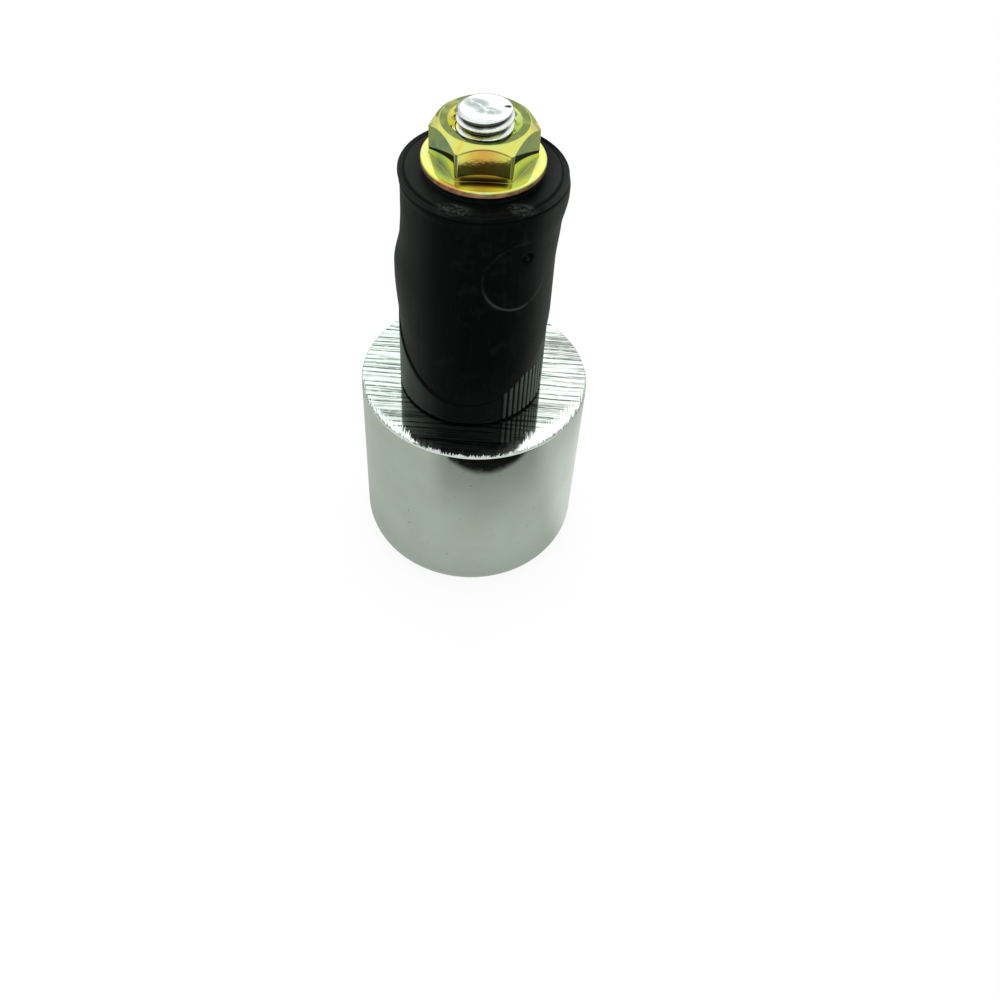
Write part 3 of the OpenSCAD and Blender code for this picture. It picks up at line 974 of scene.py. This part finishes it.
class BAR_END_OT_plug(bpy.types.Operator):
    """Build the two rubber wedges with the ribs, the nut's seat and the slanted cut"""

    bl_idname = "bar_end.plug"
    bl_label = "Rubber plug"

    def execute(self, context):
        look = context.scene.bar_end_plug
        self.lower(look)
        self.upper(look)
        return {"FINISHED"}

    @staticmethod
    def wave(rows, angles):
        """Slight unevenness of the moulded wall."""
        return 0.03 * grain(angles * 2.5 + 20, (rows[..., 1] - SHOULDER) * 0.25 + 20, 8)

    @staticmethod
    def facing(angles, degrees):
        """1 on the side that faces the given direction, 0 a quarter turn from it and beyond."""
        return np.maximum(np.cos(turn_from(angles, math.radians(degrees))), 0)

    @staticmethod
    def trimmed_tip(lift, trim):
        """Distance from the axis at which the slanted cut meets the flat of a trimmed tip."""
        meets = np.where(lift > 0.5, trim / np.maximum(lift, 0.5), np.inf)
        return np.clip(meets, WEDGE_BORE_R + 1, PLUG_R - 0.35)

    def lower(self, look):
        pitch, height, groove_r = mm(look.rib_pitch), mm(look.rib_height), mm(look.rib_groove) / 2
        half = (look.rib_count + 1) / 2 * pitch / PLUG_R
        patch = RIB_MIDDLE + np.linspace(-half, half, 14 * (look.rib_count + 1) + 1)
        rest = RIB_MIDDLE + half + np.linspace(0, 2 * np.pi - 2 * half, 210)[1:-1]
        angles = np.concatenate((patch, rest))
        lift, trim = np.sin(angles), TALL_TIP - CUT_MIDDLE
        kink = self.trimmed_tip(lift, trim)

        def top(radius):
            return CUT_MIDDLE + np.minimum(radius * lift, trim) - 0.02

        corners = chain(angles, [
            (WEDGE_BORE_R, SHOULDER),
            (PLUG_R, SHOULDER),
            (PLUG_R, top(PLUG_R)),
            (kink, top(kink)),
            (WEDGE_BORE_R, top(WEDGE_BORE_R)),
        ])
        rows = outline(corners, (0.1, 0.42, 0.42, 0, 0.1), (3, 84, 2, 10, 8))
        off = turn_from(angles, RIB_MIDDLE) * PLUG_R / pitch
        pattern = (off + look.rib_count / 2) % 1
        across = np.minimum(pattern, 1 - pattern) * pitch
        groove = np.sqrt(np.maximum(groove_r**2 - across**2, 0))
        groove = groove * (np.abs(off) < (look.rib_count + 1) / 2 - 0.2) * (rows[..., 0] > PLUG_R - 0.15)
        groove = groove * ease(height, height - 0.25, rows[..., 1] - SHOULDER)
        wall = ease(PLUG_R - 1.0, PLUG_R - 0.3, rows[..., 0])
        lean = mm(look.lean) * np.cos(turn_from(angles, np.pi))
        rows[..., 0] += wall * (lean + self.wave(rows, angles)) - groove
        finish = rubber_finish(look, "black_rubber_lower", lower_marks)
        place(solid("wedge_lower", rows, angles, [finish]), "lower_wedge", "lower_wedge")

    def upper(self, look):
        half = 0.11
        fine = DIMPLE[0] + np.linspace(-half, half, 41)
        rest = DIMPLE[0] + half + np.linspace(0, 2 * np.pi - 2 * half, 261)[1:-1]
        angles = np.concatenate((fine, rest))
        lift, trim = np.sin(angles), LONG_TIP - CUT_MIDDLE
        kink = self.trimmed_tip(-lift, -trim)

        def foot(radius):
            return CUT_MIDDLE + np.maximum(radius * lift, trim) + 0.02

        corners = chain(angles, [
            (WEDGE_BORE_R, foot(WEDGE_BORE_R)),
            (kink, foot(kink)),
            (PLUG_R, foot(PLUG_R)),
            (PLUG_R, PLUG_END),
            (SEAT_R, PLUG_END),
            (SEAT_R, SEAT_TOP),
            (WEDGE_BORE_R, SEAT_TOP),
        ])
        rows = outline(corners, (0.1, 0, 0.25, 0.2, 0.12, 0.12, 0.1), (8, 2, 150, 26, 2, 4, 8))
        self.trim_end(rows, angles)
        self.squeeze(rows, angles, look)
        finish = rubber_finish(look, "black_rubber_upper", upper_marks)
        place(solid("wedge_upper", rows, angles, [finish]), "upper_wedge", "upper_wedge")

    @staticmethod
    def trim_end(rows, angles):
        """Cuts the groove inside the rim of the end face and the two places where flash was trimmed off."""
        radius, height = rows[..., 0], rows[..., 1]
        x, y = radius * np.cos(angles), radius * np.sin(angles)
        on_end = ease(PLUG_END - 0.5, PLUG_END - 0.25, height)
        on_end = on_end * (height < PLUG_END + 0.05) * (radius > SEAT_R + 0.1)
        depth = 0.20 * near(radius, PLUG_R - 0.45, 0.3)
        for middle_x, middle_y in TRIM_SPOTS:
            away = np.hypot((x - middle_x) / 1.7, (y - middle_y) / 1.0)
            uneven = 1 + 0.5 * grain(x * 1.6 + 30, y * 1.6 + 30, 12)
            depth = depth + 0.16 * ease(1.0, 0.4, away) * uneven
        rows[..., 1] -= on_end * depth

    def squeeze(self, rows, angles, look):
        """Moves the wall: lip, bulge, lean, crease, dimple and the round mark of the mould."""
        z = rows[..., 1] - SHOULDER
        lip = (ease(24.2, 27.8, z) - 0.4 * ease(28.4, 30, z)) * 1.1 * self.facing(angles, 10) ** 3
        lip = mm(look.lip_flare) * (lip + 0.45 * ease(28.0, 29.6, z) * self.facing(angles, 190))
        bulge = mm(look.bulge) * ease(21.8, 18.0, z) * ease(8, 17, z) * self.facing(angles, 192) ** 12
        lean = 0.6 * mm(look.lean) * ease(25, 19, z) * np.cos(turn_from(angles, np.pi))
        out = lip + bulge + lean + self.wave(rows, angles) - 0.16 * near(rows[..., 1], CREASE, 0.4)
        for (turn, level), ring, width, depth in ROUND_MARKS:
            away = np.hypot(PLUG_R * turn_from(angles, turn), rows[..., 1] - level)
            out = out - depth * near(away, ring, width)
        rows[..., 0] += out * ease(PLUG_R - 1.2, PLUG_R - 0.2, rows[..., 0])


class BAR_END_OT_stage(bpy.types.Operator):
    """Set the pale floor, the soft light and the camera"""

    bl_idname = "bar_end.stage"
    bl_label = "Floor, light and camera"

    def execute(self, context):
        look = context.scene.bar_end_stage
        self.floor(look)
        self.room(context, look)
        self.softbox(look)
        self.camera(context, look)
        return {"FINISHED"}

    @staticmethod
    def floor(look):
        mesh = bpy.data.meshes.new("floor")
        ways = ((-1, -1), (1, -1), (1, 1), (-1, 1))
        corners = [(x * FLOOR_HALF, y * FLOOR_HALF, FLOOR_LEVEL) for x, y in ways]
        mesh.from_pydata(corners, [], [(0, 1, 2, 3)])
        mesh.materials.append(floor_finish(look))
        obj = bpy.data.objects.new("floor", mesh)
        bpy.context.scene.collection.objects.link(obj)

    @staticmethod
    def room(context, look):
        """Even light from all round. The camera sees it plain white."""
        world = bpy.data.worlds.new("soft_room")
        context.scene.world = world
        world.use_nodes = True
        nodes = Nodes(world.node_tree)
        seen = nodes.add("ShaderNodeLightPath", out="Is Camera Ray")
        high = nodes.parts(nodes.add("ShaderNodeTexCoord", out="Generated"))[2]
        strength = high.ramp(0.0, 0.5, look.sky * 0.8, look.sky * 1.08)
        level = strength + seen * (1.0 - strength)
        back = nodes.add("ShaderNodeBackground", None, {"Color": WHITE, "Strength": level})
        nodes.add("ShaderNodeOutputWorld", None, {"Surface": back})

    @staticmethod
    def softbox(look):
        lamp = bpy.data.lights.new("softbox_back", "AREA")
        lamp.shape, lamp.size, lamp.size_y = "RECTANGLE", *SOFTBOX_SIZE
        lamp.energy = look.softbox * math.pi * lamp.size * lamp.size_y
        obj = bpy.data.objects.new("softbox_back", lamp)
        obj.location = SOFTBOX_PLACE
        obj.rotation_mode = "QUATERNION"
        obj.rotation_quaternion = (Vector(SOFTBOX_AIM) - Vector(SOFTBOX_PLACE)).to_track_quat("-Z", "Y")
        obj.visible_camera = False
        bpy.context.scene.collection.objects.link(obj)

    @staticmethod
    def camera(context, look):
        """Stands where the photograph was taken from, and looks square across the saw marks."""
        level = Vector((math.cos(GRAIN_TURN), math.sin(GRAIN_TURN), 0))
        ahead = Vector((-level.y, level.x, 0)) * math.cos(CAMERA_DOWN)
        ahead.z = -math.sin(CAMERA_DOWN)
        above = level.cross(ahead)
        right = math.cos(CAMERA_ROLL) * level + math.sin(CAMERA_ROLL) * above
        up = math.cos(CAMERA_ROLL) * above - math.sin(CAMERA_ROLL) * level
        data = bpy.data.cameras.new("camera")
        data.lens, data.sensor_width = look.lens, 36
        data.clip_start, data.clip_end = 0.005, 20
        obj = bpy.data.objects.new("camera", data)
        matrix = Matrix((right, up, -ahead)).transposed().to_4x4()
        matrix.translation = Vector(CAMERA_PLACE) / 1000
        obj.matrix_world = matrix
        context.scene.collection.objects.link(obj)
        context.scene.camera = obj
        context.scene.view_settings.view_transform = "Standard"


class BAR_END_PT_panel(bpy.types.Panel):
    """Lists the pieces of the bar end weight"""

    bl_idname = "BAR_END_PT_panel"
    bl_label = "Bar end weight"
    bl_space_type = "VIEW_3D"
    bl_region_type = "UI"
    bl_category = "Bar end"

    def draw(self, context):
        for operator, group in zip(OPERATORS, GROUPS):
            box = self.layout.box()
            box.operator(operator.bl_idname)
            settings = getattr(context.scene, group)
            for name in settings.bl_rna.properties.keys():
                if name not in ("rna_type", "name"):
                    box.prop(settings, name)


OPERATORS = (BAR_END_OT_weight, BAR_END_OT_screw, BAR_END_OT_nut, BAR_END_OT_plug, BAR_END_OT_stage)
CLASSES = (*GROUPS.values(), *OPERATORS, BAR_END_PT_panel)


def register():
    for cls in CLASSES:
        bpy.utils.register_class(cls)
    for name, group in GROUPS.items():
        setattr(bpy.types.Scene, name, PointerProperty(type=group))


def unregister():
    for name in GROUPS:
        delattr(bpy.types.Scene, name)
    for cls in reversed(CLASSES):
        bpy.utils.unregister_class(cls)


def main():
    register()
    bpy.ops.bar_end.weight()
    bpy.ops.bar_end.screw()
    bpy.ops.bar_end.nut()
    bpy.ops.bar_end.plug()
    bpy.ops.bar_end.stage()


if __name__ == "__main__":
    main()
